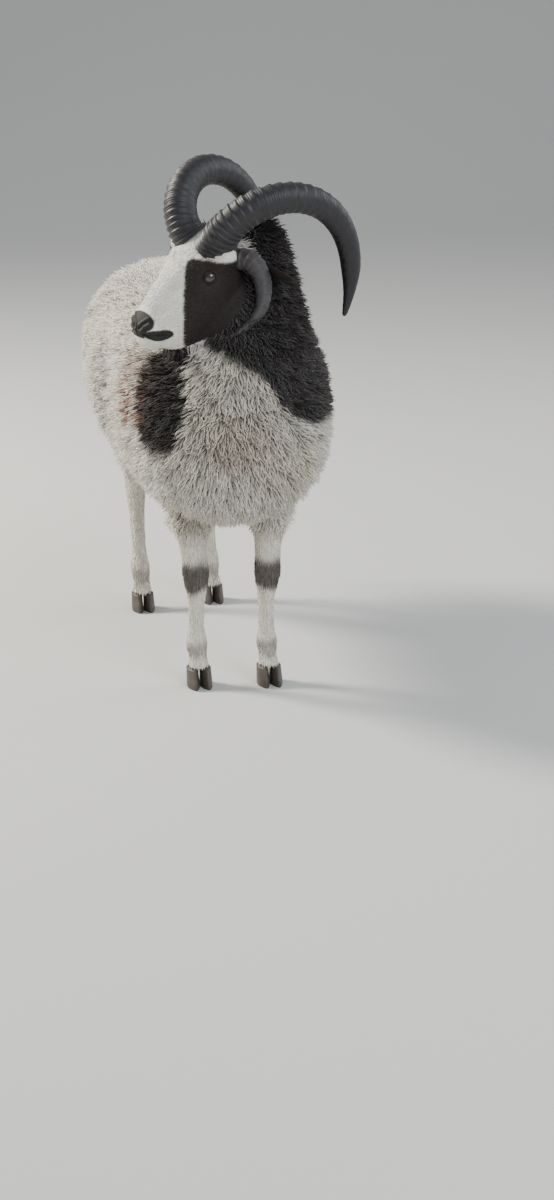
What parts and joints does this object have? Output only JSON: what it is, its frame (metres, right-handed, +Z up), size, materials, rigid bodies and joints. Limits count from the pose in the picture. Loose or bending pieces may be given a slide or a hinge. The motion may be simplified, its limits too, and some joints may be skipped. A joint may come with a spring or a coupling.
{
  "type": "jacob sheep figure",
  "caption": "Life-size still figure of a horned, piebald Jacob ram in full fleece, standing square with its head turned to its right.",
  "frame": {"origin": "bottom centre of the bounding box, on the floor under the trunk", "axes": "+Z up, -Y the way the trunk faces, +X the animal's left; the head is turned to its right, towards -X"},
  "size_m": [0.4732, 1.0954, 1.0869],
  "materials": {
    "white_wool": "matt cream fleece with a dull tip, standing in for a hair coat",
    "dark_wool": "matt black-brown fleece and hair, sun-bleached red-brown at the tips",
    "face_hair": "short close hair, white blaze between dark cheeks",
    "leg_hair": "short white hair with dark brown knees",
    "horn": "ridged slate-black keratin with a dull sheen",
    "pale_horn": "ridged grey-brown keratin with a dull sheen",
    "hoof": "dark keratin with a dull sheen",
    "eye": "wet amber-brown eye with a level slit pupil"
  },
  "bodies": {
    "root": {"ear_left": "dark_wool", "ear_right": "dark_wool", "eye_left": "eye", "eye_right": "eye", "head": "face_hair", "hoof_fore_left_inner": "hoof", "hoof_fore_left_outer": "hoof", "hoof_fore_right_inner": "hoof", "hoof_fore_right_outer": "hoof", "hoof_hind_left_inner": "hoof", "hoof_hind_left_outer": "hoof", "hoof_hind_right_inner": "hoof", "hoof_hind_right_outer": "hoof", "horn_lower_left": "pale_horn", "horn_lower_right": "pale_horn", "horn_upper_left": "horn", "horn_upper_right": "horn", "leg_fore_left": "leg_hair", "leg_fore_right": "leg_hair", "leg_hind_left": "leg_hair", "leg_hind_right": "leg_hair", "neck": "dark_wool", "tail": "white_wool", "torso": "white_wool"}
  },
  "joints": []
}
